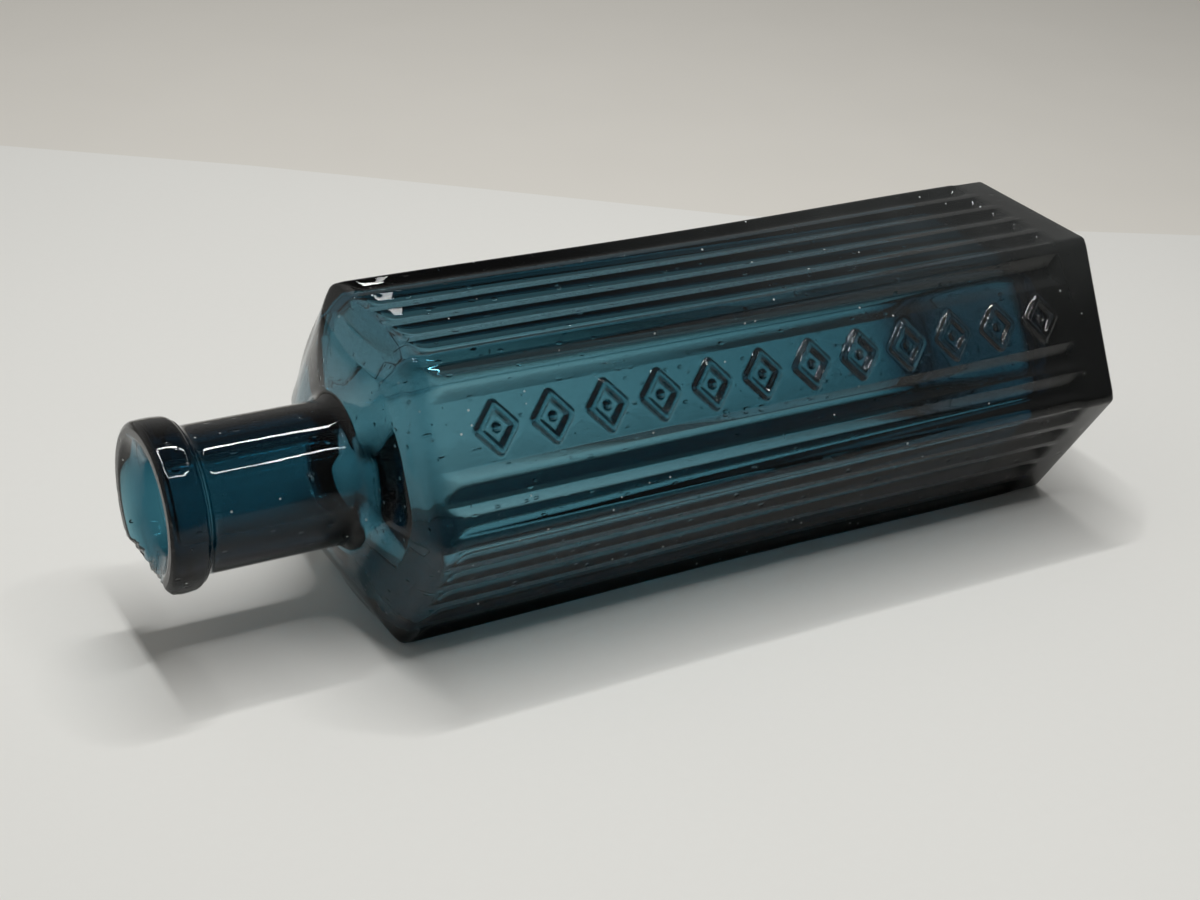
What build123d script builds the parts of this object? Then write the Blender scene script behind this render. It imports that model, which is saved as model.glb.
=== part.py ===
from build123d import *
import math
import os

# Six-sided poison bottle, lying on one plain panel, with its mouth towards -X and its base towards +X.
# The origin is below the middle of the bottle, on the surface that it lies on.
# Along the shoulder, neck and lip, distances run from the plane of the shoulder's corners to the mouth.

# Body
body_length = 106.0
across_flats = 41.0
panel_wall = 2.7
long_edge_radius = 1.2
cavity_corner_radius = 6.0
panel_sides = 6

# Base
base_thickness = 6.0
base_edge_radius = 1.4
kick_up_depth = 1.6
kick_up_radius = 13.0

# V grooves, with a rib left between each two
groove_count = 5
rib_width = 1.4
groove_depth = 1.0
heel_band = 5.9
groove_run_out = 1.6

# Label field, with grooves left below and above it, and its row of raised lozenges
label_low_groove_count = 2
label_high_groove_count = 1
label_edge_margin = 1.6
label_rib_width = 0.85
label_groove_widening = 1.05
field_margin = 0.4
field_heel_margin = 1.6
field_shoulder_margin = 4.6
lozenge_pitch = 7.8
lozenge_gap = 1.2
lozenge_stroke = 1.2
lozenge_raise = 0.7
bead_radius = 0.6
raised_draft_angle = 20.0

# Shoulder: a vault of six curved facets, and a collar that runs into the neck
dome_drop = 4.2
crown_wall = 2.5
shoulder_edge_radius = 1.5
shoulder_edge_land = 0.12
collar_radius = 2.0
collar_sink = 0.1
collar_skirt_length = 1.5
collar_foot_angle = 12.0
ceiling_width = 3.0
throat_length = 2.4

# Neck and lip
neck_radius = 9.35
neck_wall = 2.85
neck_end = 24.8
lip_overhang = 1.7
lip_height = 5.0
lip_root_radius = 0.6
lip_lower_edge_radius = 1.0
lip_face_edge_radius = 0.7
lip_face_width = 1.85
mouth_depth = 1.8
mouth_edge_radius = 1.2

# Flake missing from the lip, with its direction round the axis in degrees above the front
chip_angle = -75.0
chip_length = 2.6
chip_width = 2.85
chip_hollow = 0.6
chip_radius = 20.0

overrun = 1.0

# Worked out from the sizes above
panel_height = across_flats / 2
cavity_height = panel_height - panel_wall
corner_angle = 180 / panel_sides
edge_slope = math.tan(math.radians(corner_angle))
panel_edge = panel_height * edge_slope
groove_pitch = 2 * panel_edge / groove_count
groove_width = groove_pitch - rib_width
label_groove_pitch = groove_width + label_rib_width
axis_height = panel_height
bore_radius = neck_radius - neck_wall
lip_radius = neck_radius + lip_overhang
mouth_radius = lip_radius - lip_face_width
ceiling_radius = bore_radius + ceiling_width
dome_run = panel_height - neck_radius
dome_turn = 2 * math.degrees(math.atan(dome_drop / dome_run))
dome_radius = dome_run / math.sin(math.radians(dome_turn))
rim_rise = shoulder_edge_land + shoulder_edge_radius * math.tan(math.radians((90 - dome_turn) / 2))
shoulder_rise = rim_rise + dome_drop
ceiling_rise = shoulder_rise - crown_wall
throat_rise = ceiling_rise + throat_length
lip_start = neck_end + lip_root_radius
lip_face = lip_start + lip_height
base_x = (body_length + lip_face) / 2
shoulder_x = base_x - body_length
panel_start_x = base_x - base_thickness
groove_start_x = base_x - heel_band
collar_end = shoulder_rise + collar_radius - collar_sink
bottle_axis = Axis((0, 0, axis_height), (1, 0, 0))

# The panels in their order round the axis, from the top down the front and up the back
panel_names = (
    "panel_top",
    "panel_label",
    "panel_front",
    "panel_rest",
    "panel_back_low",
    "panel_back_high",
)

# Each panel's direction round the axis, in degrees above the front
panel_angles = {name: 90 - place * 360 / panel_sides for place, name in enumerate(panel_names)}

# The numbers of each ribbed panel's grooves, counted upwards
all_grooves = tuple(range(groove_count))
low_grooves = all_grooves[:label_low_groove_count]
high_grooves = all_grooves[groove_count - label_high_groove_count:]
panel_grooves = {
    "panel_top": all_grooves,
    "panel_label": low_grooves + high_grooves,
    "panel_front": all_grooves,
}

os.makedirs("parts", exist_ok=True)


def outward(angle):
    return Vector(0, -math.cos(math.radians(angle)), math.sin(math.radians(angle)))


def across(angle):
    return Vector(0, math.sin(math.radians(angle)), math.cos(math.radians(angle)))


# A cross-section of the bottle at x: distance across a panel, then distance out from the axis
def cross_section(angle, x):
    return Plane(origin=(x, 0, axis_height), x_dir=across(angle), z_dir=(1, 0, 0))


# A lengthwise section: distance from the shoulder's corners towards the mouth, then out from the axis
def long_section(angle):
    return Plane(origin=(shoulder_x, 0, axis_height), x_dir=(-1, 0, 0), z_dir=across(angle))


# The lower edge, valley and upper edge of a groove, across its panel
def groove_lines(number, panel_name):
    low = number * groove_pitch - panel_edge + rib_width / 2
    high = low + groove_width
    if panel_name == "panel_label" and number in low_grooves:
        low = number * label_groove_pitch - panel_edge + label_edge_margin
        high = low + groove_width
    elif panel_name == "panel_label":
        high = panel_edge - label_edge_margin - (groove_count - 1 - number) * label_groove_pitch
        low = high - groove_width - label_groove_widening
    return low, (low + high) / 2, high


# The hollows of a panel's grooves: they slope up to the heel band and run out over the shoulder
def groove_hollows(panel_name):
    angle = panel_angles[panel_name]
    steepness = (groove_depth + overrun) / groove_depth
    foot = Vector(groove_start_x, 0, axis_height) + outward(angle) * panel_height
    slope = Vector(-groove_depth, 0, 0) + outward(angle) * groove_run_out
    with BuildPart() as hollows:
        with BuildSketch(cross_section(angle, groove_start_x)):
            for number in panel_grooves[panel_name]:
                low, valley, high = groove_lines(number, panel_name)
                with BuildLine():
                    Polyline(
                        (valley, panel_height - groove_depth),
                        (valley + (high - valley) * steepness, panel_height + overrun),
                        (valley + (low - valley) * steepness, panel_height + overrun),
                        close=True,
                    )
                make_face()
        extrude(amount=shoulder_x - shoulder_rise - groove_start_x)
        split(bisect_by=Plane(origin=foot, x_dir=across(angle), z_dir=slope), keep=Keep.TOP)
    return hollows.part


# Base: a thick plate with the plain heel band round it and a shallow kick-up
with BuildPart() as base:
    with BuildSketch(cross_section(90, panel_start_x)) as base_outline:
        RegularPolygon(radius=panel_height, side_count=panel_sides, major_radius=False)
        fillet(base_outline.vertices(), radius=long_edge_radius)
    extrude(amount=base_thickness)
    fillet(base.faces().sort_by(Axis.X)[-1].edges(), radius=base_edge_radius)
    kick_up_sphere = (kick_up_radius**2 + kick_up_depth**2) / (2 * kick_up_depth)
    with Locations((base_x - kick_up_depth + kick_up_sphere, 0, axis_height)):
        Sphere(radius=kick_up_sphere, mode=Mode.SUBTRACT)
base.part.label = "base"
export_step(base.part, "parts/base.step")

# Label field: its edges across the panel, and the lozenges that fill its length
label_angle = panel_angles["panel_label"]
field_low = groove_lines(low_grooves[-1], "panel_label")[2]
field_high = groove_lines(high_grooves[0], "panel_label")[0]
field_height = field_high - field_low
row_length = body_length - heel_band - field_heel_margin - field_shoulder_margin
lozenge_count = round(row_length / lozenge_pitch)
lozenge_step = row_length / lozenge_count
lozenge_half_length = (lozenge_step - lozenge_gap) / 2
lozenge_half_height = field_height / 2 - field_margin
row_centre = Vector(groove_start_x - field_heel_margin - row_length / 2, 0, axis_height)
row_centre = row_centre + across(label_angle) * (field_low + field_high) / 2
row_centre = row_centre + outward(label_angle) * panel_height

# The side of a lozenge leans, so its inner corners step in by more than its stroke
lozenge_side = math.hypot(lozenge_half_length, lozenge_half_height)
inner_half_length = lozenge_half_length - lozenge_stroke * lozenge_side / lozenge_half_height
inner_half_height = lozenge_half_height - lozenge_stroke * lozenge_side / lozenge_half_length

# Body: six panels, mitred at the long edges
for panel_name, panel_angle in panel_angles.items():
    with BuildPart() as panel:
        with BuildSketch(cross_section(panel_angle, panel_start_x)):
            with BuildLine() as half_section:
                outer_arc = CenterArc(
                    ((panel_height - long_edge_radius) * edge_slope, panel_height - long_edge_radius),
                    long_edge_radius,
                    start_angle=90 - corner_angle,
                    arc_size=corner_angle,
                )
                inner_arc = CenterArc(
                    ((cavity_height - cavity_corner_radius) * edge_slope, cavity_height - cavity_corner_radius),
                    cavity_corner_radius,
                    start_angle=90 - corner_angle,
                    arc_size=corner_angle,
                )
                Line((0, panel_height), outer_arc @ 1)
                Line(outer_arc @ 0, inner_arc @ 0)
                Line(inner_arc @ 1, (0, cavity_height))
                mirror(half_section.line, about=Plane.YZ)
            make_face()
        extrude(amount=base_thickness - body_length)
        if panel_name in panel_grooves:
            add(groove_hollows(panel_name), mode=Mode.SUBTRACT)
        if panel_name == "panel_label":
            with BuildSketch(Plane(origin=row_centre, x_dir=(1, 0, 0), z_dir=outward(panel_angle))):
                with GridLocations(lozenge_step, 0, lozenge_count, 1):
                    Polygon(
                        (lozenge_half_length, 0),
                        (0, lozenge_half_height),
                        (-lozenge_half_length, 0),
                        (0, -lozenge_half_height),
                    )
                    Polygon(
                        (inner_half_length, 0),
                        (0, inner_half_height),
                        (-inner_half_length, 0),
                        (0, -inner_half_height),
                        mode=Mode.SUBTRACT,
                    )
                    Circle(bead_radius)
            extrude(amount=lozenge_raise, taper=raised_draft_angle)
    panel.part.label = panel_name
    export_step(panel.part, f"parts/{panel_name}.step")

# Throat: the hollow of the shoulder, from the six-sided inside of the body to the round bore
with BuildPart() as throat:
    with BuildSketch(cross_section(90, shoulder_x)) as cavity_outline:
        RegularPolygon(radius=cavity_height, side_count=panel_sides, major_radius=False)
        fillet(cavity_outline.vertices(), radius=cavity_corner_radius)
    with BuildSketch(cross_section(90, shoulder_x - ceiling_rise)):
        Circle(ceiling_radius)
    loft()
    with BuildSketch(long_section(90)):
        with BuildLine():
            Polyline(
                (ceiling_rise, 0),
                (ceiling_rise, ceiling_radius),
                (throat_rise, bore_radius),
                (collar_end + overrun, bore_radius),
                (collar_end + overrun, 0),
                close=True,
            )
        make_face()
    revolve(axis=bottle_axis)

# Shoulder
with BuildPart() as shoulder:
    with BuildSketch(cross_section(90, shoulder_x)) as shoulder_outline:
        RegularPolygon(radius=panel_height, side_count=panel_sides, major_radius=False)
        fillet(shoulder_outline.vertices(), radius=long_edge_radius)
    extrude(amount=-shoulder_rise)
    for vault_angle in (90, 30, -30):
        with BuildSketch(long_section(vault_angle)) as vault:
            with BuildLine() as half_vault:
                dome = CenterArc((shoulder_rise - dome_radius, neck_radius), dome_radius, 0, dome_turn)
                Polyline(dome @ 1, (0, panel_height), (0, 0))
                Line(dome @ 0, (shoulder_rise, 0))
                mirror(half_vault.line, about=Plane.XZ)
            make_face()
            rim = vault.vertices().group_by(Axis.Y)[-1] + vault.vertices().group_by(Axis.Y)[0]
            fillet(rim.group_by(Axis.X)[-1], radius=shoulder_edge_radius)
        extrude(amount=across_flats, both=True, mode=Mode.INTERSECT)
    with BuildSketch(long_section(90)):
        with BuildLine():
            collar = CenterArc(
                (collar_end, neck_radius + collar_radius),
                collar_radius,
                start_angle=-90,
                arc_size=collar_foot_angle - 90,
            )
            skirt = PolarLine(collar @ 1, collar_skirt_length, angle=90 + collar_foot_angle)
            Polyline(skirt @ 1, ((skirt @ 1).X, 0), (collar_end, 0), collar @ 0)
        make_face()
    revolve(axis=bottle_axis)
    add(throat.part, mode=Mode.SUBTRACT)
    for ribbed_panel in panel_grooves:
        add(groove_hollows(ribbed_panel), mode=Mode.SUBTRACT)
shoulder.part.label = "shoulder"
export_step(shoulder.part, "parts/shoulder.step")

# Neck: a plain tube
with BuildPart() as neck:
    with BuildSketch(Plane(origin=(shoulder_x - collar_end, 0, axis_height), z_dir=(-1, 0, 0))):
        Circle(neck_radius)
        Circle(bore_radius, mode=Mode.SUBTRACT)
    extrude(amount=neck_end - collar_end)
neck.part.label = "neck"
export_step(neck.part, "parts/neck.step")

# Lip: a square band with rounded edges and a funnelled mouth, with a flake missing
chip_slope = math.hypot(chip_length, chip_width)
chip_out = outward(chip_angle)
chip_normal = Vector(-chip_width / chip_slope, 0, 0) + chip_out * (chip_length / chip_slope)
chip_centre = Vector(shoulder_x - lip_face + chip_length / 2, 0, axis_height)
chip_centre = chip_centre + chip_out * (lip_radius - chip_width / 2)
chip_centre = chip_centre + chip_normal * (chip_radius - chip_hollow)
with BuildPart() as lip_ring:
    with BuildSketch(long_section(90)) as lip_profile:
        with BuildLine():
            Polyline(
                (neck_end, bore_radius),
                (neck_end, neck_radius),
                (lip_start, neck_radius),
                (lip_start, lip_radius),
                (lip_face, lip_radius),
                (lip_face, mouth_radius),
                (lip_face - mouth_depth, bore_radius),
                close=True,
            )
        make_face()
        for corner, corner_radius in (
            ((lip_start, neck_radius), lip_root_radius),
            ((lip_start, lip_radius), lip_lower_edge_radius),
            ((lip_face, lip_radius), lip_face_edge_radius),
            ((lip_face, mouth_radius), mouth_edge_radius),
        ):
            fillet(lip_profile.vertices().sort_by_distance(corner)[0], radius=corner_radius)
    revolve(axis=bottle_axis)
    with Locations(chip_centre):
        Sphere(radius=chip_radius, mode=Mode.SUBTRACT)
lip_ring.part.label = "lip_ring"
export_step(lip_ring.part, "parts/lip_ring.step")
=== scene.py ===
import math
import bmesh
import bpy
import numpy as np
from mathutils import Matrix, Vector, geometry, kdtree, noise


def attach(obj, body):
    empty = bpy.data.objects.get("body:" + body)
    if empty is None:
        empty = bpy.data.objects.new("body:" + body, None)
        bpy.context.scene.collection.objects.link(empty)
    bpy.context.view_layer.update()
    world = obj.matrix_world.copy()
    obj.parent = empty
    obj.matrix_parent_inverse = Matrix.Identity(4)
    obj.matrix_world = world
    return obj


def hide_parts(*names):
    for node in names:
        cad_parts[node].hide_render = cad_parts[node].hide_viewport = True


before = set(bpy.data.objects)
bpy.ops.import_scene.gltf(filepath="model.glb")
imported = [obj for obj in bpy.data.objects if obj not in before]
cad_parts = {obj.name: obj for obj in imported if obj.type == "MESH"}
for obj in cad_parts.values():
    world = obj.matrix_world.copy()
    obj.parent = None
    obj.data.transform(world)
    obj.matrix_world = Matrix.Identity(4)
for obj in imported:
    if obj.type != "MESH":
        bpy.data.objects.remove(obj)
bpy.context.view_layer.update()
print("frame loaded:", len(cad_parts), "parts")


class Link:
    # wraps a socket, and its operators add Math nodes
    def __init__(self, maker, socket):
        self.maker, self.socket = maker, socket

    def math(self, operation, *others):
        return self.maker.add("ShaderNodeMath", {"operation": operation}, dict(enumerate((self,) + others)))[0]

    def flipped(self, operation, other):
        return self.maker.add("ShaderNodeMath", {"operation": operation}, {0: other, 1: self})[0]

    def __add__(self, other): return self.math("ADD", other)
    def __radd__(self, other): return self.math("ADD", other)
    def __sub__(self, other): return self.math("SUBTRACT", other)
    def __rsub__(self, other): return self.flipped("SUBTRACT", other)
    def __mul__(self, other): return self.math("MULTIPLY", other)
    def __rmul__(self, other): return self.math("MULTIPLY", other)
    def __truediv__(self, other): return self.math("DIVIDE", other)
    def __rtruediv__(self, other): return self.flipped("DIVIDE", other)
    def __neg__(self): return self.math("MULTIPLY", -1.0)
    def clamp(self): return self.maker.add("ShaderNodeClamp", {}, {0: self})[0]

    def step(self, low, high):
        return self.maker.add("ShaderNodeMapRange", {"interpolation_type": "SMOOTHSTEP"}, {0: self, 1: low, 2: high})[0]


class Made:
    # a node whose outputs are read as links
    def __init__(self, maker, node):
        self.maker, self.node = maker, node

    def __getitem__(self, key):
        return Link(self.maker, self.node.outputs[key])


class Maker:
    def __init__(self, tree):
        self.tree = tree

    def add(self, kind, settings=None, inputs=None):
        node = self.tree.nodes.new(kind)
        for name, value in (settings or {}).items():
            setattr(node, name, value)
        for key, value in (inputs or {}).items():
            socket = node.inputs[key]
            if isinstance(value, Link):
                self.tree.links.new(value.socket, socket)
            else:
                socket.default_value = value
        return Made(self, node)

    def vector(self, operation, inputs):
        return self.add("ShaderNodeVectorMath", {"operation": operation}, inputs)

    def stretched(self, place, factors):
        return self.vector("MULTIPLY", {0: place, 1: factors})[0]

    def noise(self, place, scale, detail, **more):
        return self.add("ShaderNodeTexNoise", {}, {"Vector": place, "Scale": scale, "Detail": detail, **more})[0]

    def cells(self, place, scale):
        inputs = {"Vector": place, "Scale": scale, "Randomness": 1.0}
        return self.add("ShaderNodeTexVoronoi", {"feature": "F1"}, inputs)


def shaderMaker(name):
    material = bpy.data.materials.new(name)
    material.use_nodes = True
    material.node_tree.nodes.clear()
    return material, Maker(material.node_tree)


def geometryTree(name, inputs):
    tree = bpy.data.node_groups.new(name, "GeometryNodeTree")
    tree.interface.new_socket("Geometry", in_out="INPUT", socket_type="NodeSocketGeometry")
    for label, kind in inputs:
        tree.interface.new_socket(label, in_out="INPUT", socket_type=kind)
    tree.interface.new_socket("Geometry", in_out="OUTPUT", socket_type="NodeSocketGeometry")
    maker = Maker(tree)
    return tree, maker, maker.add("NodeGroupInput")


def bake(thing, tree, values):
    modifier = thing.modifiers.new(tree.name, "NODES")
    modifier.node_group = tree
    for item in tree.interface.items_tree:
        if item.in_out == "INPUT" and item.name in values:
            modifier[item.identifier] = values[item.name]
    depsgraph = bpy.context.evaluated_depsgraph_get()
    evaluated = thing.evaluated_get(depsgraph)
    mesh = bpy.data.meshes.new_from_object(evaluated, preserve_all_data_layers=True, depsgraph=depsgraph)
    thing.modifiers.remove(modifier)
    old = thing.data
    thing.data = mesh
    bpy.data.meshes.remove(old)
    return thing


def meshObject(name, corners, facets):
    mesh = bpy.data.meshes.new(name)
    mesh.from_pydata([tuple(p) for p in corners], [], facets)
    mesh.update()
    thing = bpy.data.objects.new(name, mesh)
    bpy.context.scene.collection.objects.link(thing)
    return thing


def storeNumbers(mesh, name, kind, values):
    layer = mesh.attributes.new(name, kind, "POINT")
    field = "vector" if kind == "FLOAT_VECTOR" else "value"
    layer.data.foreach_set(field, np.asarray(values, np.float32).ravel())


# the bottle's outline, in millimetres, with the axis along X and the base at plus X
millimetre = 0.001
bottle = {
    "halfFlat": 20.5,
    "axisHeight": 20.5,
    "baseX": 68.2,
    "heelX": 65.6,
    "cornerX": -37.8,
    "edgeRadius": 1.25,
    "panelBow": 0.3,
    "kickDepth": 1.6,
    "kickRadius": 13.0,
    "baseEdge": 1.0,
    "neckRadius": 9.35,
    "shoulderRise": 5.0,
    "longestSide": 1.2,
    "arcSteps": 6,
}
groove = {
    "pitch": 4.7343,
    "width": 3.6,
    "depth": 1.45,
    "shoulderShare": 0.7,
    "labelEdgeMargin": 1.45,
    "labelRib": 0.8,
    "labelWidening": 0.9,
    "startX": 62.3,
    "shoulderX": -37.4,
    "shoulderSlope": 0.34,
    "endSlope": 0.65,
    "crestRadius": 0.35,
    "edgeCrestRadius": 0.6,
    "crestSteps": 3,
    "valleyRadius": 1.8,
    "smallestCut": 0.004,
    "levelDrop": 0.45,
}
labelAngle = 30
panelAngles = [-90, -30, labelAngle, 90, 150, 210]
panelGrooves = {-30: (0, 1, 2, 3, 4), labelAngle: (0, 1, 4), 90: (0, 1, 2, 3, 4)}
halfPanel = math.radians(30)  # half of a panel's angle round the axis
ungrooved = -9.0  # an end gap that keeps grooves away
filletLimit = 0.48  # the share of a side that one fillet may take


def outward(angle):
    return np.array([-math.cos(math.radians(angle)), math.sin(math.radians(angle))])


def across(angle):
    return np.array([math.sin(math.radians(angle)), math.cos(math.radians(angle))])


def filletPath(corners, closed):
    # corners are (x, y, radius, steps)
    made = []
    count = len(corners)
    for i, (x, y, radius, steps) in enumerate(corners):
        here = np.array([x, y])
        if radius == 0 or (not closed and i in (0, count - 1)):
            made.append(here)
            continue
        before = np.array(corners[i - 1][:2]) - here
        after = np.array(corners[(i + 1) % count][:2]) - here
        a, b = np.linalg.norm(before), np.linalg.norm(after)
        u, v = before / a, after / b
        half = math.acos(max(-1, min(1, float(u @ v)))) / 2
        reach = min(radius / math.tan(half), filletLimit * a, filletLimit * b)
        radius = reach * math.tan(half)
        centre = here + (u + v) / np.linalg.norm(u + v) * radius / math.sin(half)
        first, last = here + u * reach - centre, here + v * reach - centre
        turn = math.pi - 2 * half
        for k in range(steps + 1):
            s = k / steps
            made.append(centre + (first * math.sin((1 - s) * turn) + last * math.sin(s * turn)) / math.sin(turn))
    return made


def subdivide(loop, longest):
    made = []
    for i, here in enumerate(loop):
        there = loop[(i + 1) % len(loop)]
        parts = max(1, math.ceil(np.linalg.norm(there - here) / longest - 1e-6))
        made += [here + (there - here) * k / parts for k in range(parts)]
    return made


halfFlat = bottle["halfFlat"]
halfSide = halfFlat * math.tan(halfPanel)


def grooveEdges(number, angle):
    low = number * groove["pitch"] - halfSide + (groove["pitch"] - groove["width"]) / 2
    high = low + groove["width"]
    if angle == labelAngle and number < 2:
        low = number * (groove["width"] + groove["labelRib"]) - halfSide + groove["labelEdgeMargin"]
        high = low + groove["width"]
    elif angle == labelAngle:
        high = halfSide - groove["labelEdgeMargin"]
        low = high - groove["width"] - groove["labelWidening"]
    return low, (low + high) / 2, high


# the label field lies between the panel's second groove and its last
fieldLow = grooveEdges(1, labelAngle)[2]
fieldHigh = grooveEdges(4, labelAngle)[0]
fieldMiddle = (fieldLow + fieldHigh) / 2
fieldMargin = 0.16
tileHalfHeight = (fieldHigh - fieldLow) / 2 - fieldMargin
tileRows, tileColumns = 8, 4


def groovedOutline():
    corners = []

    def addCorner(angle, side, height, radius, steps):
        corners.append((*(outward(angle) * height + across(angle) * side), radius, steps))

    for angle in panelAngles:
        ridgeBelow = angle in panelGrooves and (angle - 60) in panelGrooves
        ridgeAbove = angle in panelGrooves and (angle + 60) in panelGrooves
        if not ridgeBelow:
            addCorner(angle, -halfSide, halfFlat, bottle["edgeRadius"], bottle["arcSteps"])
        for number in panelGrooves.get(angle, ()):
            low, valley, high = grooveEdges(number, angle)
            lowCrest = groove["edgeCrestRadius"] if number == 0 and ridgeBelow else groove["crestRadius"]
            highCrest = groove["edgeCrestRadius"] if number == 4 and ridgeAbove else groove["crestRadius"]
            addCorner(angle, low, halfFlat, lowCrest, groove["crestSteps"])
            addCorner(angle, valley, halfFlat - groove["depth"], groove["valleyRadius"], bottle["arcSteps"])
            addCorner(angle, high, halfFlat, highCrest, groove["crestSteps"])
            if angle == labelAngle and number == 1:
                for k in range(tileRows + 1):
                    addCorner(angle, fieldMiddle + tileHalfHeight * (2 * k / tileRows - 1), halfFlat, 0, 0)
    return np.array(subdivide(filletPath(corners, True), bottle["longestSide"]))


def edgeDistance(turn, half, radius):
    # distance from the axis to a rounded hexagon, turn being the angle from the nearest panel's middle
    turn = np.abs(turn)
    flat = half / np.cos(turn)
    cx, cy = (half - radius) * math.tan(halfPanel), half - radius
    b = cx * np.sin(turn) + cy * np.cos(turn)
    arc = b + np.sqrt(np.maximum(b * b - cx * cx - cy * cy + radius * radius, 0))
    return np.where(turn > math.atan2(cx, half), arc, flat)


def smoothStep(value, low, high):
    s = np.clip((value - low) / (high - low), 0, 1)
    return s * s * (3 - 2 * s)


def softMax(a, b, soft):
    return 0.5 * (a + b + np.sqrt((a - b) ** 2 + soft * soft))


outline = groovedOutline()
columns = len(outline)
directions = np.arctan2(outline[:, 1], -outline[:, 0])
panelOf = np.array(
    [min(panelAngles, key=lambda a: abs((math.degrees(t) - a + 180) % 360 - 180)) for t in directions]
)
normals = np.array([outward(a) for a in panelOf])
sideways = np.array([across(a) for a in panelOf])
sideOf = (outline * sideways).sum(1)
heightOf = (outline * normals).sum(1)
nearEdge = smoothStep(np.abs(sideOf), 9.7, 10.9)  # rays turn from the plain panel to the outline here
turns = np.arctan2(sideOf, halfFlat) * (1 - nearEdge) + np.arctan2(sideOf, heightOf) * nearEdge
rays = normals * np.cos(turns)[:, None] + sideways * np.sin(turns)[:, None]
plain = rays * edgeDistance(turns, halfFlat, bottle["edgeRadius"])[:, None]
cut = outline - plain
cut[np.linalg.norm(cut, axis=1) < groove["smallestCut"]] = 0
print("outline:", columns, "columns")


def panelHalf(x):
    # the panels sink a little in the middle of their length
    span = np.clip((groove["startX"] - x) / (groove["startX"] - bottle["cornerX"]), 0, 1)
    return halfFlat - bottle["panelBow"] * np.sin(math.pi * span) ** 2


def hexNorm(flatPoints):
    # a softened largest reach over the six panels
    sharpness = 4
    reach = np.stack([flatPoints @ outward(a) for a in panelAngles], 1)
    most = reach.max(1, keepdims=True)
    return np.log(np.exp((reach - most) * sharpness).sum(1)) / sharpness + reach.max(1)


# rings of the outer surface, from the base's middle to the mouth: points, end gap and drop
outerRings = []


def addRing(x, flatPoints, hasGrooves):
    drop = halfFlat - (flatPoints * normals).sum(1)
    xs = np.broadcast_to(np.asarray(x, float), (columns,))
    gap = np.full(columns, ungrooved)
    if hasGrooves:
        fromShoulder = (xs - groove["shoulderX"]) * groove["shoulderSlope"] / groove["endSlope"]
        gap = np.minimum(groove["startX"] - xs, fromShoulder)
        drop = np.where(np.abs(drop) < groove["levelDrop"], 0, drop)
    outerRings.append((np.column_stack([xs, flatPoints]), gap, drop))


def hexRing(half, radius, roundness=0, circle=0):
    reach = edgeDistance(turns, half, radius)
    return rays * (reach * (1 - roundness) + circle * roundness)[:, None]


# the kick-up, the flat of the base and the base's edge
for share in (0.14, 0.3, 0.46, 0.62, 0.78, 0.9, 1.0):
    addRing(
        bottle["baseX"] - bottle["kickDepth"] * (1 - share * share), rays * (bottle["kickRadius"] * share), False
    )
flatEnd = halfFlat - bottle["baseEdge"]
for share in (0.25, 0.5, 0.75, 1.0):
    half = bottle["kickRadius"] + (flatEnd - bottle["kickRadius"]) * share
    roundness = 1 - smoothStep(share, 0, 0.9)
    addRing(bottle["baseX"], hexRing(half, bottle["edgeRadius"] * 0.8, roundness, half), False)
edgeRings = 5
for k in range(1, edgeRings + 1):
    bend = math.pi / 2 * k / edgeRings
    half = flatEnd + bottle["baseEdge"] * math.sin(bend)
    x = bottle["baseX"] - bottle["baseEdge"] * (1 - math.cos(bend))
    addRing(x, hexRing(half, bottle["edgeRadius"]), False)

# the body, with rings that match the lozenge tiles
lozengeRow = {
    "count": 12,
    "startX": 60.7,
    "endX": -33.2,
    "halfLength": 3.3125,
    "halfHeight": 3.885,
    "stroke": 1.2,
    "raise": 0.66,
    "bead": 0.6,
}
tileStep = (lozengeRow["startX"] - lozengeRow["endX"]) / lozengeRow["count"]
bodyX = list(np.linspace(bottle["heelX"], groove["startX"], 4))
bodyX += list(np.linspace(groove["startX"], lozengeRow["startX"], 7)[1:])
tileStartRing = len(outerRings) + len(bodyX) - 1
tileRings = lozengeRow["count"] * tileColumns
bodyX += [lozengeRow["startX"] - tileStep / tileColumns * k for k in range(1, tileRings + 1)]
tileEndRing = len(outerRings) + len(bodyX) - 1
bodyX += [-33.9, -34.6, -35.2, -35.7, -36.2, -36.6, -37.0, groove["shoulderX"], bottle["cornerX"]]
for x in bodyX:
    addRing(x, hexRing(float(panelHalf(x)), bottle["edgeRadius"]), True)

# the shoulder is a shallow dome with a rounded edge, and turns from six-sided to round
dome = {
    "drop": 4.2,
    "edge": 1.5,
    "edgeRings": 8,
    "rings": 14,
    "reach": 0.79,
    "roundBelow": 11.8,
    "sixSidedAbove": 18.0,
    "cornerGrowth": 1.2,
    "roundShare": 1.03,
}
collar = {"radius": 2.0, "end": 6.9, "slope": 0.35, "softness": 0.25}
neckRadius = bottle["neckRadius"]
domeRun = halfFlat - neckRadius
domeTurn = 2 * math.atan(dome["drop"] / domeRun)
domeRadius = domeRun / math.sin(domeTurn)
domeCentre = bottle["shoulderRise"] - domeRadius
edge = dome["edge"]
edgeCentre = domeCentre + math.sqrt((domeRadius - edge) ** 2 - (domeRun - edge) ** 2)
edgeTurn = math.atan2(domeRun - edge, edgeCentre - domeCentre)


def domeRise(half):
    return domeCentre + np.sqrt(np.maximum(domeRadius**2 - np.maximum(half - neckRadius, 0) ** 2, 0))


def collarRise(r):
    out = np.clip(neckRadius + collar["radius"] - r, 0, collar["radius"])
    rise = collar["end"] - np.sqrt(np.maximum(collar["radius"] ** 2 - out**2, 0))
    return rise - np.maximum(r - neckRadius - collar["radius"], 0) * collar["slope"]


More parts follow.
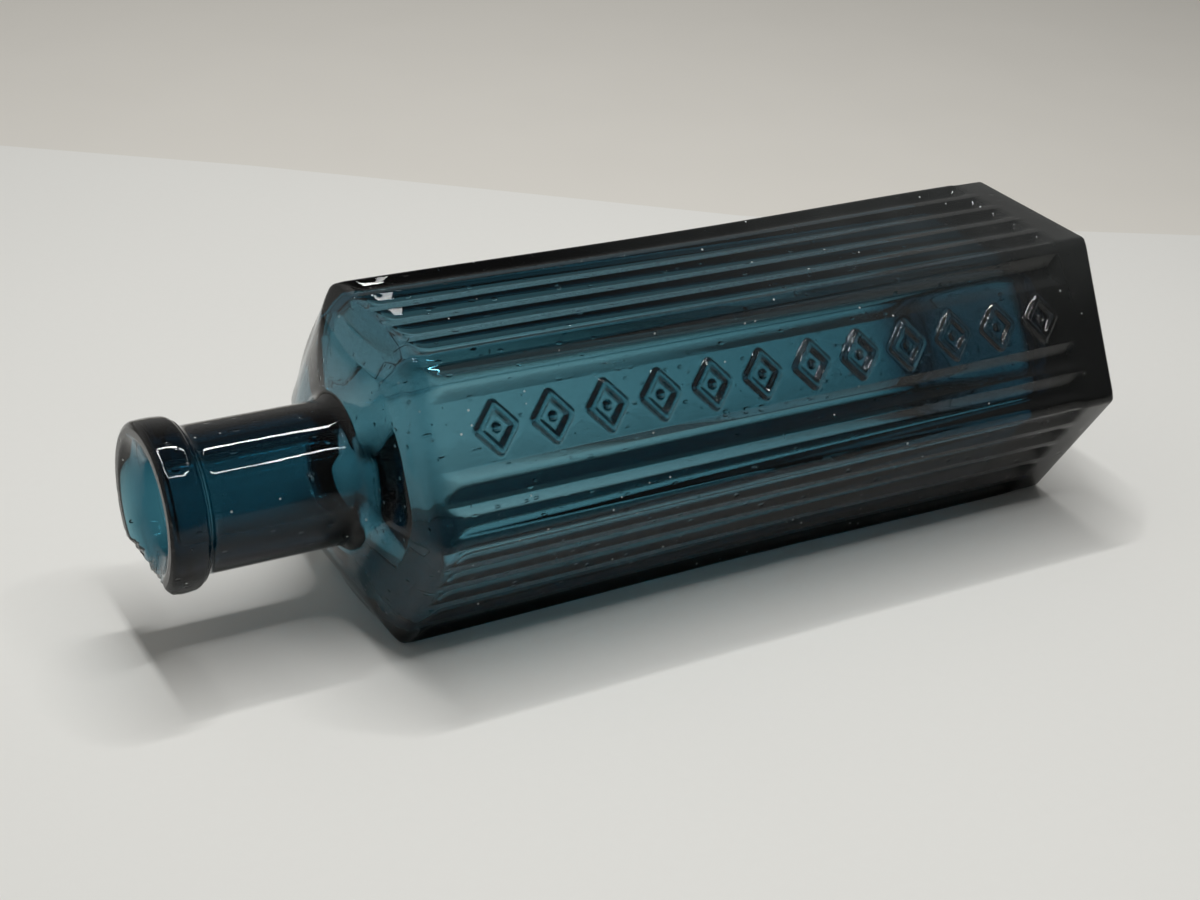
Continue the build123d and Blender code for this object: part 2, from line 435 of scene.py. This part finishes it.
for k in range(dome["edgeRings"] + 1):
    bend = math.pi / 2 + (edgeTurn - math.pi / 2) * k / dome["edgeRings"]
    half = halfFlat - edge + edge * math.sin(bend)
    addRing(bottle["cornerX"] - edgeCentre - edge * math.cos(bend), hexRing(half, bottle["edgeRadius"]), True)
for k in range(1, dome["rings"] + 1):
    bend = edgeTurn * (1 - k / dome["rings"] * dome["reach"])
    half = neckRadius + domeRadius * math.sin(bend)
    roundness = 1 - float(smoothStep(half, dome["roundBelow"], dome["sixSidedAbove"]))
    cornerRadius = bottle["edgeRadius"] + dome["cornerGrowth"] * (1 - half / halfFlat)
    domePoints = hexRing(half, cornerRadius, roundness, half * dome["roundShare"])
    rise = domeRise(half) * (1 - roundness) + domeRise(hexNorm(domePoints)) * roundness
    rise = softMax(rise, collarRise(np.linalg.norm(domePoints, axis=1)), collar["softness"])
    addRing(bottle["cornerX"] - rise, domePoints, True)
lastDome = float(np.linalg.norm(domePoints, axis=1).mean())
for r in np.linspace(lastDome, neckRadius, 10)[1:-1].tolist() + [9.42, 9.36]:
    rootPoints = rays * r
    rise = softMax(domeRise(hexNorm(rootPoints)), collarRise(np.full(columns, r)), collar["softness"])
    addRing(bottle["cornerX"] - rise, rootPoints, False)

# the neck and the lip, as (distance from the body's corner, radius, fillet, steps)
lip = {
    "radius": 11.0,
    "face": 30.4,
    "barrelMiddle": 28.1,
    "barrelRadius": 15.0,
    "ridge": 0.3,
    "rippleLength": 0.85,
    "rippleSkew": 0.9,
    "rippleShare": 0.6,
    "roughScale": 1.3,
    "fineSide": 0.28,
    "coarseSide": 0.9,
}
lipProfile = filletPath(
    [
        (collar["end"], neckRadius, 0, 0),
        (24.7, neckRadius, 2.0, 6),
        (25.7, lip["radius"], 1.1, 6),
        (lip["face"], lip["radius"], 0.75, 6),
        (lip["face"], 9.0, 1.4, 6),
        (28.5, 5.8, 0.9, 5),
        (23.0, 5.2, 0, 0),
    ],
    False,
)
# the large flake and four smaller chips, as (angle, length, width, hollow, ball's radius)
chips = [
    (-75.0, 2.6, 2.85, 0.6, 20.0),
    (-102.0, 1.8, 3.6, 0.5, 12.0),
    (161.0, 0.7, 0.7, 0.2, 0.9),
    (196.0, 0.9, 0.7, 0.15, 3.5),
    (228.0, 1.1, 0.9, 0.2, 4.0),
]


def chipped(ring):
    # each chip is a hollow cut by a ball, with ripples that spread from the rim
    for angle, length, width, hollow, radius in chips:
        slope = math.hypot(length, width)
        out = np.array([0, *outward(angle)])
        chipFace = np.array([-width / slope, 0, 0]) + out * (length / slope)
        rim = np.array([-bottle["baseX"], 0, 0]) + out * lip["radius"]
        middle = np.array([-bottle["baseX"] + length / 2, 0, 0]) + out * (lip["radius"] - width / 2)
        centre = middle + chipFace * (radius - hollow)
        away = ring - centre
        distance = np.linalg.norm(away, axis=1)
        near = distance < radius + 0.5
        if not near.any():
            continue
        reach = np.linalg.norm(ring[near] - rim, axis=1)
        phase = reach * math.pi / lip["rippleLength"] + ring[near][:, 1] * lip["rippleSkew"]
        ripple = np.abs(np.sin(phase)) - lip["rippleShare"]
        rough = np.array([noise.noise(Vector(p) * lip["roughScale"]) for p in ring[near]])
        limit = radius + (ripple * lip["rippleShare"] + rough) * lip["ridge"] * min(1, slope / 3)
        ring[near] = centre + away[near] * np.maximum(1, limit / distance[near])[:, None]
    return ring


neckSteps = [np.array([t, neckRadius]) for t in np.linspace(7.6, 22.9, 12)]
bandSteps = []
for i, point in enumerate(lipProfile[1:]):
    before = lipProfile[i]
    longest = lip["fineSide"] if min(point[1], before[1]) > 8.0 else lip["coarseSide"]
    if i > 0 and np.linalg.norm(point - before) > longest:
        parts = math.ceil(np.linalg.norm(point - before) / longest)
        bandSteps += [before + (point - before) * k / parts for k in range(1, parts)]
    bandSteps.append(point)
for t, r in neckSteps + bandSteps:
    barrel = (t - lip["barrelMiddle"]) ** 2 / 2 / lip["barrelRadius"] if r > 10.4 else 0.0
    ring = np.column_stack([np.full(columns, bottle["cornerX"] - t), rays * (r - barrel)])
    ring = chipped(ring) if t > 25 and r > 6.5 else ring
    outerRings.append((ring, np.full(columns, ungrooved), halfFlat - (ring[:, 1:] * normals).sum(1)))
print("outer surface:", len(outerRings), "rings")

# rings of the cavity, from the mouth to the inside of the base
cavity = {
    "crownThinning": 1.5,
    "bore": 5.2,
    "shoulderHalf": 18.65,
    "heelHalf": 17.35,
    "cornerRadius": 6.0,
    "floor": -100,
    "floorRise": 1.1,
    "footRadius": 9.0,
    "footRings": 8,
    "longestStep": 2.1,
    "columns": 132,
}
innerTurn = np.arange(cavity["columns"]) * 2 * math.pi / cavity["columns"] - math.pi / 2
innerRays = np.column_stack([-np.cos(innerTurn), np.sin(innerTurn)])
innerPanelTurn = (np.degrees(innerTurn) + 90 + 30) % 60 - 30
footStart = cavity["footRadius"] + cavity["floor"]
innerPath = filletPath(
    [
        (22.0, cavity["bore"], 0, 0),
        (2.2, 5.4, 3.0, 8),
        (1.5, 15.2, 1.0, 4),
        (0.45, 17.6, 1.2, 3),
        (-1.6, cavity["shoulderHalf"], 2.4, 5),
        (footStart, cavity["heelHalf"], 0, 0),
    ],
    False,
)
innerPoints = []
for i, point in enumerate(innerPath):
    if i > 0:
        before = innerPath[i - 1]
        parts = math.ceil(np.linalg.norm(point - before) / cavity["longestStep"])
        innerPoints += [before + (point - before) * k / parts for k in range(1, parts)]
    innerPoints.append(point)
lastHalf = cavity["heelHalf"] - cavity["footRadius"]
for k in range(1, cavity["footRings"] + 1):
    bend = math.pi / 2 * k / cavity["footRings"]
    footHalf = cavity["heelHalf"] - cavity["footRadius"] * (1 - math.cos(bend))
    innerPoints.append(np.array([footStart - cavity["footRadius"] * math.sin(bend), footHalf]))
for share in (0.84, 0.66, 0.48, 0.3, 0.14):
    innerPoints.append(np.array([cavity["floor"] + cavity["floorRise"] * (1 - share**2), lastHalf * share]))
# the shoulder's wall is thinner above and below the neck than beside it
height = np.sin(innerTurn)
awayFromSide = np.maximum(smoothStep(height, 0.5, 0.9), smoothStep(-height, 0.15, 0.55))
innerRings = []
for t, half in innerPoints:
    roundness = 1 - float(smoothStep(half, 8.5, 16.0))
    radius = cavity["cornerRadius"] * min(1.0, half / cavity["heelHalf"])
    reach = edgeDistance(np.radians(innerPanelTurn), half, radius) * (1 - roundness) + half * roundness
    thinner = np.zeros(cavity["columns"])
    if t > 0:
        fade = smoothStep(half, 18.4, 9.0)
        thinner = awayFromSide * cavity["crownThinning"] * fade * (1 - smoothStep(t, 2.4, 4.5))
    innerRings.append(np.column_stack([bottle["cornerX"] - t - thinner, innerRays * reach[:, None]]))
print("cavity:", len(innerRings), "rings")

# one tile of the row of raised lozenges on the label field
strokeProfile = ((0.34, 0.0), (0.2, 0.015), (0.06, 0.1), (-0.08, 0.3), (-0.24, 0.55), (-0.4, 0.72))
strokeFull = 0.75  # the height at which the stroke's profile would be whole
beadProfile = ((1.4, 0.0), (1.22, 0.07), (1.03, 0.34), (0.8, 0.66), (0.5, 0.87), (0.25, 0.97))


def lozengeLoop(offset):
    # an outline at this distance outside the middle of the stroke
    a, b, s = lozengeRow["halfLength"], lozengeRow["halfHeight"], lozengeRow["stroke"]
    inset = a * b / math.hypot(a, b)
    radius = max(0.06, 0.15 + offset)
    scale = (inset - s / 2 + offset) / inset
    ends = [(a * scale, 0), (0, b * scale), (-a * scale, 0), (0, -b * scale)]
    return subdivide(filletPath([(x, y, radius, 4) for x, y in ends], True), 0.9)


def lozengeTile():
    spots, heights, edges = [], [], []

    def addLoop(loop, level):
        first = len(spots)
        for k, p in enumerate(loop):
            spots.append(Vector((float(p[0]), float(p[1]))))
            heights.append(level)
            edges.append((first + k, first + (k + 1) % len(loop)))

    halfStep = tileStep / 2
    border = [np.array([halfStep * (2 * k / tileColumns - 1), -tileHalfHeight]) for k in range(tileColumns)]
    border += [np.array([halfStep, tileHalfHeight * (2 * k / tileRows - 1)]) for k in range(tileRows)]
    border += [np.array([halfStep * (1 - 2 * k / tileColumns), tileHalfHeight]) for k in range(tileColumns)]
    border += [np.array([-halfStep, tileHalfHeight * (1 - 2 * k / tileRows)]) for k in range(tileRows)]
    addLoop(border, 0.0)
    stroke = lozengeRow["stroke"] / 2
    for offset, level in strokeProfile:
        addLoop(lozengeLoop(stroke + offset), level / strokeFull * lozengeRow["raise"])
        addLoop(lozengeLoop(-stroke - offset), level / strokeFull * lozengeRow["raise"])
    circle = [np.array([math.cos(a), math.sin(a)]) for a in np.arange(12) * math.pi / 6]
    for r, level in beadProfile:
        addLoop([p * r * lozengeRow["bead"] for p in circle], level * lozengeRow["raise"])
    spots.append(Vector((0.0, 0.0)))
    heights.append(lozengeRow["raise"])
    # loose points keep the triangles round the lozenge even
    for x in np.arange(-3.2, 3.3, 0.8):
        for y in np.arange(-4.0, 4.1, 0.8):
            side = abs(x) / lozengeRow["halfLength"] + abs(y) / lozengeRow["halfHeight"]
            if side > 1.3 and abs(x) < halfStep - 0.4 and abs(y) < tileHalfHeight - 0.3:
                spots.append(Vector((float(x), float(y))))
                heights.append(0.0)
    corners, _, triangles, origins, _, _ = geometry.delaunay_2d_cdt(spots, edges, [], 0, 1e-6)
    raised = [heights[o[0]] if o else 0.0 for o in origins]
    flatTile = [(c.x, c.y, z) for c, z in zip(corners, raised)]
    return meshObject("lozengeTile", flatTile, [tuple(t) for t in triangles])


rowTree, make, group = geometryTree("lozengeRow", [("Count", "NodeSocketInt"), ("Step", "NodeSocketFloat")])
spacing = make.add("ShaderNodeCombineXYZ", {}, {0: group["Step"]})[0]
lineInputs = {"Count": group["Count"], "Start Location": (0, 0, 0), "Offset": spacing}
line = make.add("GeometryNodeMeshLine", {"mode": "OFFSET"}, lineInputs)
placed = make.add("GeometryNodeInstanceOnPoints", {}, {"Points": line[0], "Instance": group["Geometry"]})
real = make.add("GeometryNodeRealizeInstances", {}, {0: placed[0]})
welded = make.add("GeometryNodeMergeByDistance", {}, {"Geometry": real[0], "Distance": 0.01})
make.add("NodeGroupOutput", {}, {0: welded[0]})
row = bake(lozengeTile(), rowTree, {"Count": lozengeRow["count"], "Step": -tileStep})
rowPoints = np.zeros(len(row.data.vertices) * 3)
row.data.vertices.foreach_get("co", rowPoints)
rowPoints = rowPoints.reshape(-1, 3)
rowFaces = [tuple(p.vertices) for p in row.data.polygons]
rowX = lozengeRow["startX"] - tileStep / 2 + rowPoints[:, 0]
rowHalf = panelHalf(rowX)
rowSide = (fieldMiddle + rowPoints[:, 1]) * rowHalf / halfFlat
rowFlat = outward(labelAngle) * (rowHalf + rowPoints[:, 2])[:, None] + across(labelAngle) * rowSide[:, None]
bpy.data.objects.remove(row)
print("lozenge row:", len(rowFaces), "faces")

# one closed surface of glass
points, faces, gaps, drops, cuts, insides = [], [], [], [], [], []


def addPoints(block, gap, drop, cutPart, inside):
    first = len(points)
    points.extend(block.tolist())
    gaps.extend(np.broadcast_to(gap, (len(block),)).tolist())
    drops.extend(np.broadcast_to(drop, (len(block),)).tolist())
    cuts.extend(np.broadcast_to(cutPart, (len(block), 2)).tolist())
    insides.extend(np.broadcast_to(inside, (len(block),)).tolist())
    return first


def addPlain(block, inside):
    return addPoints(np.array(block), ungrooved, 0, (0, 0), inside)


fieldReach = tileHalfHeight + 0.01
onField = (panelOf == labelAngle) & (sideOf > fieldMiddle - fieldReach) & (sideOf < fieldMiddle + fieldReach)
fieldColumns = np.where(onField)[0]
inField = set(fieldColumns.tolist())
firsts = [addPoints(block, gap, drop, cut, 0.0) for block, gap, drop in outerRings]
pole = addPlain([[bottle["baseX"] - bottle["kickDepth"], 0, 0]], 0.0)
for c in range(columns):
    faces.append((pole, firsts[0] + c, firsts[0] + (c + 1) % columns))
for k in range(len(firsts) - 1):
    for c in range(columns):
        d = (c + 1) % columns
        if tileStartRing <= k < tileEndRing and c in inField and d in inField:
            continue
        faces.append((firsts[k] + c, firsts[k + 1] + c, firsts[k + 1] + d, firsts[k] + d))
rowFirst = addPoints(np.column_stack([rowX, rowFlat]), 30.0, 0.0, (0, 0), 0.0)
faces += [tuple(rowFirst + v for v in f) for f in rowFaces]
innerFirsts = [addPlain(block, 1.0) for block in innerRings]
innerPole = addPlain([[bottle["cornerX"] - cavity["floor"] - cavity["floorRise"], 0, 0]], 1.0)
innerColumns = cavity["columns"]
for k in range(len(innerFirsts) - 1):
    for c in range(innerColumns):
        d = (c + 1) % innerColumns
        faces.append((innerFirsts[k] + c, innerFirsts[k + 1] + c, innerFirsts[k + 1] + d, innerFirsts[k] + d))
for c in range(innerColumns):
    faces.append((innerFirsts[-1] + c, innerPole, innerFirsts[-1] + (c + 1) % innerColumns))

# the last outer ring and the first inner ring have different counts, so a strip of triangles joins them
outerAngle = np.unwrap(np.arctan2(rays[:, 1], -rays[:, 0]))
innerStart = int(np.argmin(np.abs((innerTurn - outerAngle[0] + math.pi) % (2 * math.pi) - math.pi)))
i = j = 0
while i < columns or j < innerColumns:
    outerNext = outerAngle[(i + 1) % columns] + 2 * math.pi * ((i + 1) // columns)
    innerNext = outerAngle[0] + 2 * math.pi * (j + 1) / innerColumns
    a = firsts[-1] + i % columns
    b = innerFirsts[0] + (innerStart + j) % innerColumns
    if j >= innerColumns or (i < columns and outerNext <= innerNext):
        faces.append((a, b, firsts[-1] + (i + 1) % columns))
        i += 1
    else:
        faces.append((a, b, innerFirsts[0] + (innerStart + j + 1) % innerColumns))
        j += 1

# the lozenge row's border is welded to the field's edge, and unused points are dropped
points = np.array(points)
points[:, 2] += bottle["axisHeight"]
points *= millimetre
weldReach = 0.00002
remap = np.arange(len(points))
fieldEdge = kdtree.KDTree((tileEndRing - tileStartRing + 1) * len(fieldColumns))
for k in range(tileStartRing, tileEndRing + 1):
    for c in fieldColumns:
        fieldEdge.insert(points[firsts[k] + c], int(firsts[k] + c))
fieldEdge.balance()
for n in range(rowFirst, rowFirst + len(rowPoints)):
    _, nearest, distance = fieldEdge.find(points[n])
    if distance < weldReach:
        remap[n] = nearest
faces = [tuple(int(remap[v]) for v in f) for f in faces]
used = np.unique(np.concatenate([np.array(f) for f in faces]))
newIndex = np.full(len(points), -1)
newIndex[used] = np.arange(len(used))
faces = [tuple(int(newIndex[v]) for v in f) for f in faces]
glass = meshObject("glass_bottle", points[used], faces)
shape = bmesh.new()
shape.from_mesh(glass.data)
bmesh.ops.recalc_face_normals(shape, faces=shape.faces)
shape.to_mesh(glass.data)
shape.free()
cutVectors = np.column_stack([np.zeros(len(points)), np.array(cuts)]) * millimetre
storeNumbers(glass.data, "cut", "FLOAT_VECTOR", cutVectors[used])
storeNumbers(glass.data, "endGap", "FLOAT", np.array(gaps)[used] * millimetre)
storeNumbers(glass.data, "drop", "FLOAT", np.array(drops)[used] * millimetre)
storeNumbers(glass.data, "inside", "FLOAT", np.array(insides)[used])
print("glass:", len(used), "points,", len(faces), "faces")

# grooves, and the unevenness of pressed glass, by rule
softTree, make, group = geometryTree(
    "grooveAndSoften",
    [
        ("End Slope", "NodeSocketFloat"),
        ("Shoulder Share", "NodeSocketFloat"),
        ("Shoulder X", "NodeSocketFloat"),
        ("Heel X", "NodeSocketFloat"),
        ("Edge Softness", "NodeSocketFloat"),
        ("Outer Wave", "NodeSocketFloat"),
        ("Cavity Wave", "NodeSocketFloat"),
        ("Seed", "NodeSocketFloat"),
        ("Finish", "NodeSocketMaterial"),
    ],
)


def readNumber(name, kind="FLOAT"):
    return make.add("GeometryNodeInputNamedAttribute", {"data_type": kind}, {"Name": name})[0]


alongAxis = make.add("ShaderNodeSeparateXYZ", {}, {0: make.add("GeometryNodeInputPosition")[0]})[0]
shareInputs = {0: alongAxis, 1: group["Shoulder X"], 2: group["Heel X"], 3: group["Shoulder Share"], 4: 1.0}
along = make.add("ShaderNodeMapRange", {}, shareInputs)[0]
cutLink = make.vector("SCALE", {0: readNumber("cut", "FLOAT_VECTOR"), "Scale": along})[0]
cutLength = make.vector("LENGTH", {0: cutLink})["Value"]
endLimit = readNumber("endGap") * group["End Slope"]
depth = endLimit.math("SMOOTH_MIN", cutLength - readNumber("drop"), group["Edge Softness"])
depth = depth.math("SMOOTH_MAX", 0.0, group["Edge Softness"]).math("MINIMUM", cutLength)
pushed = make.vector("SCALE", {0: cutLink, "Scale": depth / cutLength.math("MAXIMUM", 0.000001)})
grooved = make.add("GeometryNodeSetPosition", {}, {"Geometry": group["Geometry"], "Offset": pushed[0]})
wavePlace = make.stretched(make.add("GeometryNodeInputPosition")[0], (0.45, 1, 1))
inside = readNumber("inside")


def waves(scale, detail):
    inputs = {"Vector": wavePlace, "W": group["Seed"], "Scale": scale, "Detail": detail}
    return make.add("ShaderNodeTexNoise", {"noise_dimensions": "4D"}, inputs)[0]


outerWave = waves(110.0, 1.0) * -1.0 * group["Outer Wave"] * (1.0 - inside)
cavityWave = (waves(62.0, 1.5) - 0.5) * 2.0 * group["Cavity Wave"] * inside
outwards = make.add("GeometryNodeInputNormal")[0]
shift = make.vector("SCALE", {0: outwards, "Scale": outerWave + cavityWave})
softened = make.add("GeometryNodeSetPosition", {}, {"Geometry": grooved[0], "Offset": shift[0]})
finished = make.add("GeometryNodeSetMaterial", {}, {"Geometry": softened[0], "Material": group["Finish"]})
make.add("NodeGroupOutput", {}, {0: finished[0]})

# the glass itself, with its places in metres
tint = {
    "absorb": (0.03, 0.44, 0.53, 1),
    "density": 650.0,
    "ior": 1.51,
    "specular": (0.45, 0.45, 0.45, 1),
    "roughest": 0.02,
    "haze": 0.003,
    "wear": 0.04,
    "pale": (0.62, 0.66, 0.65, 1),
    # wear: strength of the pale coat on the upper right, partly wear and partly painted sheen
    "paleRoughness": 0.8,
}
marks = {
    "dustScale": 650.0,
    "dustSize": (0.07, 0.13),
    "dustPick": (0.86, 0.9),
    "dustShare": 0.7,
    "pitScale": 900.0,
    "pitStretch": (0.55, 1, 1),
    "pitSize": (0.08, 0.26),
    "pitPick": (0.80, 0.86),
    "streakStretch": (0.12, 1, 1),
    "streakHeight": 0.002,
    "mottleHeight": 0.012,
    "bumpDistance": 0.0001,
}
flakeMark = {
    "place": (-0.0672, -0.0008, 0.0112),
    "edge": (0.0019, 0.0028),
    "stretch": (1, 2.5, 0.6),
    "scale": 1400.0,
    "height": 3.0,
    "cover": (0.42, 0.62),
    "coverShare": 0.6,
    "colour": (0.34, 0.32, 0.29, 1),
}


def glassFinish():
    material, add = shaderMaker("poisonGlass")
    place = add.add("ShaderNodeTexCoord")["Object"]
    axes = add.add("ShaderNodeSeparateXYZ", {}, {0: place})
    fine = add.noise(place, 900.0, 3.0)
    patches = add.noise(place, 120.0, 4.0)
    # pale specks of dust, and pits
    specks = add.cells(place, marks["dustScale"])
    speckPick = add.add("ShaderNodeSeparateColor", {}, {0: specks["Color"]})[0]
    dust = (1.0 - specks["Distance"].step(*marks["dustSize"])) * speckPick.step(*marks["dustPick"])
    pits = add.cells(add.stretched(place, marks["pitStretch"]), marks["pitScale"])
    pitPick = add.add("ShaderNodeSeparateColor", {}, {0: pits["Color"]})[1]
    hollows = (1.0 - pits["Distance"].step(*marks["pitSize"])) * pitPick.step(*marks["pitPick"])
    streaks = add.noise(add.stretched(place, marks["streakStretch"]), 1500.0, 2.0)
    # the rough break of the lip's flake
    apart = add.vector("DISTANCE", {0: place, 1: flakeMark["place"]})["Value"]
    flake = 1.0 - apart.step(*flakeMark["edge"])
    ridges = add.noise(add.stretched(place, flakeMark["stretch"]), flakeMark["scale"], 3.0, Distortion=0.6)
    # the shoulder end is mottled; the upper right gets a pale grey coat that is partly wear and partly a painted sheen,
    # stronger on the upper faces
    towardsMouth = -axes[0]
    leftPart = towardsMouth.step(0.01, 0.035) * (1.0 - towardsMouth.step(0.042, 0.046))
    mottle = add.noise(place, 520.0, 4.0)
    rough = hollows * -1.0 + streaks * marks["streakHeight"] + mottle * leftPart * marks["mottleHeight"]
    rough = rough + ridges * flake * flakeMark["height"]
    # painted sheen: the coat is weighted towards the top faces, where the grey sheen shows
    topSheen = axes[2].step(0.008, 0.03) * 0.4 + axes[2].step(0.03, 0.041) * 0.6
    wornAndSheen = axes[0].step(-0.02, 0.05) * topSheen
    # the haze holds the glass's own faint haze plus the painted sheen of the upper right
    haze = (tint["haze"] + wornAndSheen * tint["wear"]) * (0.6 + 0.8 * patches)
    bump = add.add("ShaderNodeBump", {}, {"Strength": 1.0, "Distance": marks["bumpDistance"], "Height": rough})
    clearInputs = {
        "Base Color": (1, 1, 1, 1),
        "Transmission Weight": 1.0,
        "Specular Tint": tint["specular"],
        "IOR": tint["ior"],
        "Roughness": fine.step(0.35, 0.9) * tint["roughest"],
        "Normal": bump[0],
    }
    clear = add.add("ShaderNodeBsdfPrincipled", {}, clearInputs)
    paleInputs = {0: flake, 6: tint["pale"], 7: flakeMark["colour"]}
    paleColour = add.add("ShaderNodeMix", {"data_type": "RGBA"}, paleInputs)[2]
    pale = add.add(
        "ShaderNodeBsdfPrincipled", {}, {"Base Color": paleColour, "Roughness": tint["paleRoughness"]}
    )
    broken = flake * ridges.step(*flakeMark["cover"]) * flakeMark["coverShare"]
    cover = (dust * marks["dustShare"] + haze + broken).clamp()
    surface = add.add("ShaderNodeMixShader", {}, {0: cover, 1: clear[0], 2: pale[0]})
    body = add.add("ShaderNodeVolumeAbsorption", {}, {"Color": tint["absorb"], "Density": tint["density"]})
    add.add("ShaderNodeOutputMaterial", {}, {"Surface": surface[0], "Volume": body[0]})
    return material


bake(
    glass,
    softTree,
    {
        "End Slope": groove["endSlope"],
        "Shoulder Share": groove["shoulderShare"],
        "Shoulder X": -0.036,
        "Heel X": 0.058,
        "Edge Softness": 0.0003,
        "Outer Wave": 0.00004,
        "Cavity Wave": 0.00022,
        "Seed": 4.0,
        "Finish": glassFinish(),
    },
)
for polygon in glass.data.polygons:
    polygon.use_smooth = True
print("glass baked")
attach(glass, "root")
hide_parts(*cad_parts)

# the floor is a sheet of white paper on a pale table, in metres
ground = {
    "paperEdge": [
        (-1.2, 0.92), (-0.4, 0.42), (-0.0466, 0.1873), (-0.0365, 0.1808), (0.0058, 0.1543),
        (0.0468, 0.1253), (0.0855, 0.0974), (0.108, 0.085), (0.1316, 0.0734), (0.1689, 0.0559),
        (0.1802, 0.0506), (0.6, -0.14), (1.2, -0.42),
    ],
    "paperFront": -1.4,
    "paperSide": 1.2,
    "paperDrop": 0.0001,
    "tableSize": 4.0,
    "tableDrop": 0.002,
}


def groundFinish(name, low, high, scale):
    material, add = shaderMaker(name)
    place = add.add("ShaderNodeTexCoord")["Object"]
    grain = add.noise(place, scale, 5.0)
    cloud = add.noise(place, scale / 60, 2.0)
    colour = add.add("ShaderNodeMix", {"data_type": "RGBA"}, {0: grain * 0.4 + cloud * 0.6, 6: low, 7: high})[2]
    surface = add.add("ShaderNodeBsdfPrincipled", {}, {"Base Color": colour, "Roughness": grain * 0.2 + 0.7})
    add.add("ShaderNodeOutputMaterial", {}, {"Surface": surface[0]})
    return material


paperSide, paperFront = ground["paperSide"], ground["paperFront"]
paperCorners = ground["paperEdge"] + [(paperSide, paperFront), (-paperSide, paperFront)]
paper = meshObject(
    "paper", [(x, y, -ground["paperDrop"]) for x, y in paperCorners], [tuple(reversed(range(len(paperCorners))))]
)
paper.data.materials.append(groundFinish("whitePaper", (0.76, 0.755, 0.72, 1), (0.80, 0.795, 0.76, 1), 700.0))
tableCorners = [
    (x * ground["tableSize"], y * ground["tableSize"], -ground["tableDrop"])
    for x, y in ((-1, -1), (1, -1), (1, 1), (-1, 1))
]
table = meshObject("table", tableCorners, [(0, 1, 2, 3)])
table.data.materials.append(groundFinish("paleTable", (0.71, 0.685, 0.63, 1), (0.76, 0.735, 0.68, 1), 40.0))
print("floor laid")

# a pale wall of the room lights from the left, and a faint sheen from behind at the right
room = {
    "dark": 0.08,
    "bright": 0.5,
    "brightSide": (-0.74, 0.65, 0.12),
    "sheen": 0.2,
    "sheenSide": (0.70, 0.64, 0.31),
    "colour": (1.0, 0.985, 0.95, 1),
}
world = bpy.data.worlds.new("room")
bpy.context.scene.world = world
world.use_nodes = True
world.node_tree.nodes.clear()
sky = Maker(world.node_tree)


def facing(side):
    return sky.vector("DOT_PRODUCT", {0: sky.add("ShaderNodeTexCoord")["Generated"], 1: side})["Value"]


wall = facing(room["brightSide"]).step(0.0, 0.9) * (room["bright"] - room["dark"])
sheen = facing(room["sheenSide"]).step(0.8, 0.98) * (room["sheen"] - room["dark"])
background = sky.add("ShaderNodeBackground", {}, {"Color": room["colour"], "Strength": wall + sheen + room["dark"]})
sky.add("ShaderNodeOutputWorld", {}, {"Surface": background[0]})

# a lamp shaped like a rounded frame hangs overhead
lampFrame = {
    "height": 0.42,
    "low": (-0.063, -0.195),
    "high": (0.131, 0.118),
    "strip": 0.016,
    "corner": 0.04,
    "cornerLength": 1.45,
    "radiance": 42.7,
    "frontShare": 0.7,
    "backShare": 1.5,
    "rightWidth": 0.004,
    "rightShare": 0.35,
}


def addStrip(name, x, y, length, turn, share=1.0, width=lampFrame["strip"]):
    lamp = bpy.data.lights.new(name, "AREA")
    lamp.shape = "RECTANGLE"
    lamp.size, lamp.size_y = length, width
    lamp.energy = lampFrame["radiance"] * share * math.pi * length * width
    thing = bpy.data.objects.new(name, lamp)
    thing.location = (x, y, lampFrame["height"])
    thing.rotation_euler = (0, 0, turn)
    bpy.context.scene.collection.objects.link(thing)


lowX, lowY = lampFrame["low"]
highX, highY = lampFrame["high"]
bend = lampFrame["corner"]
midX, midY = (lowX + highX) / 2, (lowY + highY) / 2
spanX, spanY = highX - lowX - 2 * bend, highY - lowY - 2 * bend
addStrip("lampFront", midX, lowY, spanX, 0, lampFrame["frontShare"])
addStrip("lampBack", midX, highY, spanX, 0, lampFrame["backShare"])
addStrip("lampLeft", lowX, midY, spanY, math.pi / 2)
addStrip("lampRight", highX, midY, spanY, math.pi / 2, lampFrame["rightShare"], lampFrame["rightWidth"])
for x, y, turn in ((lowX, lowY, -1), (lowX, highY, 1), (highX, lowY, 1), (highX, highY, -1)):
    inX, inY = math.copysign(bend / 2, midX - x), math.copysign(bend / 2, midY - y)
    addStrip("lampCorner", x + inX, y + inY, bend * lampFrame["cornerLength"], turn * math.pi / 4)
print("lamps hung")

# the camera stands where the photograph was taken from, its focal length in pixels of the photograph
view = {
    "place": (-0.134568, -0.208560, 0.148175),
    "azimuth": -32.1087,
    "elevation": 28.3523,
    "roll": 4.5795,
    "focal": 2042.4,
    "photoWidth": 1200,
    "sensor": 36,
}
camera = bpy.data.objects.new("camera", bpy.data.cameras.new("camera"))
bpy.context.scene.collection.objects.link(camera)
bpy.context.scene.camera = camera
az, el, roll = (math.radians(view[k]) for k in ("azimuth", "elevation", "roll"))
back = Vector((math.sin(az) * math.cos(el), -math.cos(az) * math.cos(el), math.sin(el)))
right = (-back).cross(Vector((0, 0, 1))).normalized()
up = right.cross(-back)
tiltedRight = right * math.cos(roll) + up * math.sin(roll)
tiltedUp = up * math.cos(roll) - right * math.sin(roll)
turned = Matrix((tiltedRight, tiltedUp, back)).transposed().to_4x4()
camera.matrix_world = Matrix.Translation(view["place"]) @ turned
camera.data.sensor_width = view["sensor"]
camera.data.lens = view["focal"] / view["photoWidth"] * view["sensor"]
camera.data.clip_start = 0.01
bpy.context.scene.view_settings.view_transform = "Standard"
